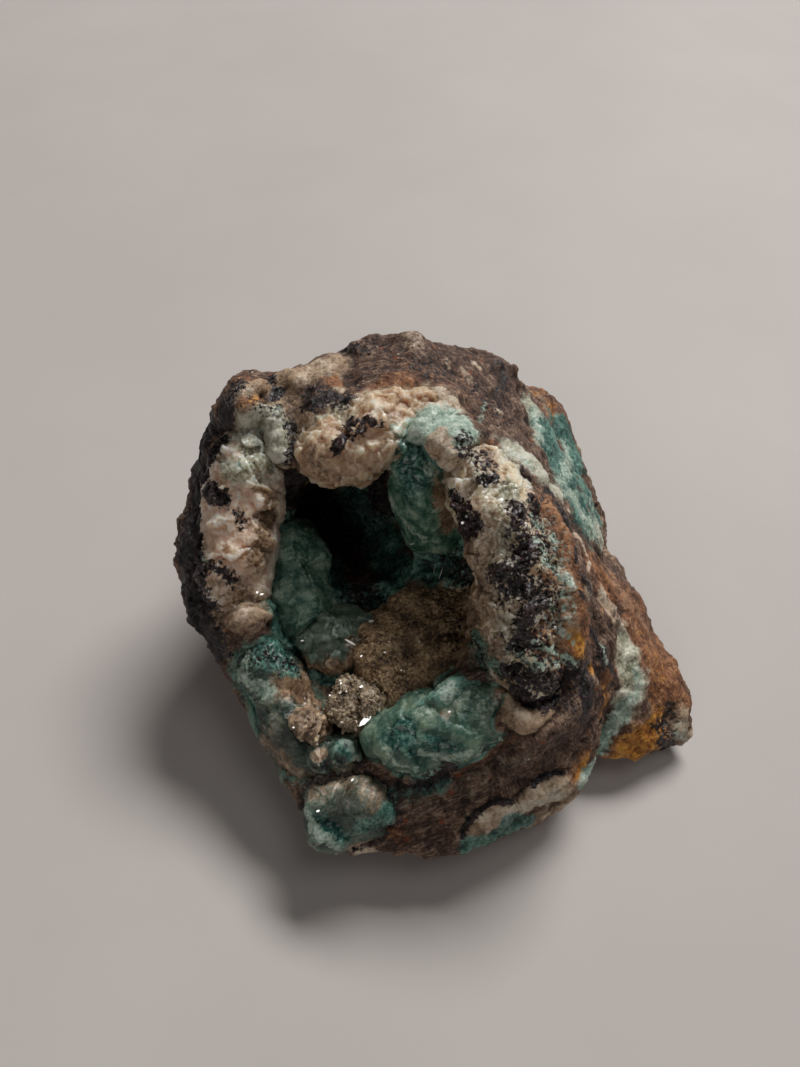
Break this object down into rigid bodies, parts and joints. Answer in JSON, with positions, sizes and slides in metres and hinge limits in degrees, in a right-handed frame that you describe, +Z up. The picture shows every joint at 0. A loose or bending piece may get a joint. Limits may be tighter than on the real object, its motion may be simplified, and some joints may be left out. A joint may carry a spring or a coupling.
{
  "type": "aurichalcite nodule",
  "caption": "Rough brown iron-oxide rock, about the size of a small fist, with an open hollow lined by teal, cream and tan crystal crusts.",
  "frame": {"origin": "a point of the resting flat under the middle of the rock", "axes": "+Z up from the surface it rests on, -Y towards the open side of the hollow, +X to the right when looking into the hollow"},
  "size_m": [0.075, 0.0747, 0.0381],
  "materials": {
    "goethite_rock": "matt, gritty and fibrous",
    "cream_crust": "satin, finely botryoidal",
    "cream_grey_crust": "sparkling fine druse",
    "mottled_green_crust": "sparkling fine druse",
    "pale_teal_mineral": "silky, finely crystalline",
    "blue_green_mineral": "silky, finely crystalline",
    "pale_blue_green_crust": "silky, finely crystalline",
    "deep_teal_mineral": "silky, finely crystalline",
    "grey_teal_mineral": "silky, finely crystalline",
    "tan_druse": "sparkling fine druse",
    "grey_green_mineral": "satin, finely crystalline",
    "pale_tan_crystal": "glassy small crystals",
    "tan_rosette_crystal": "glassy small crystals",
    "teal_bead_mineral": "satin, finely crystalline"
  },
  "bodies": {
    "root": {"host_rock": "goethite_rock", "cream_rim_lobes": "cream_crust", "left_rim_crust": "cream_grey_crust", "right_rim_crust": "mottled_green_crust", "hanging_teal_curtain": "pale_teal_mineral", "front_teal_bank": "blue_green_mineral", "lower_left_rim": "pale_blue_green_crust", "left_teal_wall": "deep_teal_mineral", "teal_toe_lobe": "grey_teal_mineral", "tan_vug_floor": "tan_druse", "grey_green_block": "grey_green_mineral", "pale_crystal_cluster": "pale_tan_crystal", "tan_rosette": "tan_rosette_crystal", "teal_bead": "teal_bead_mineral"}
  },
  "joints": []
}
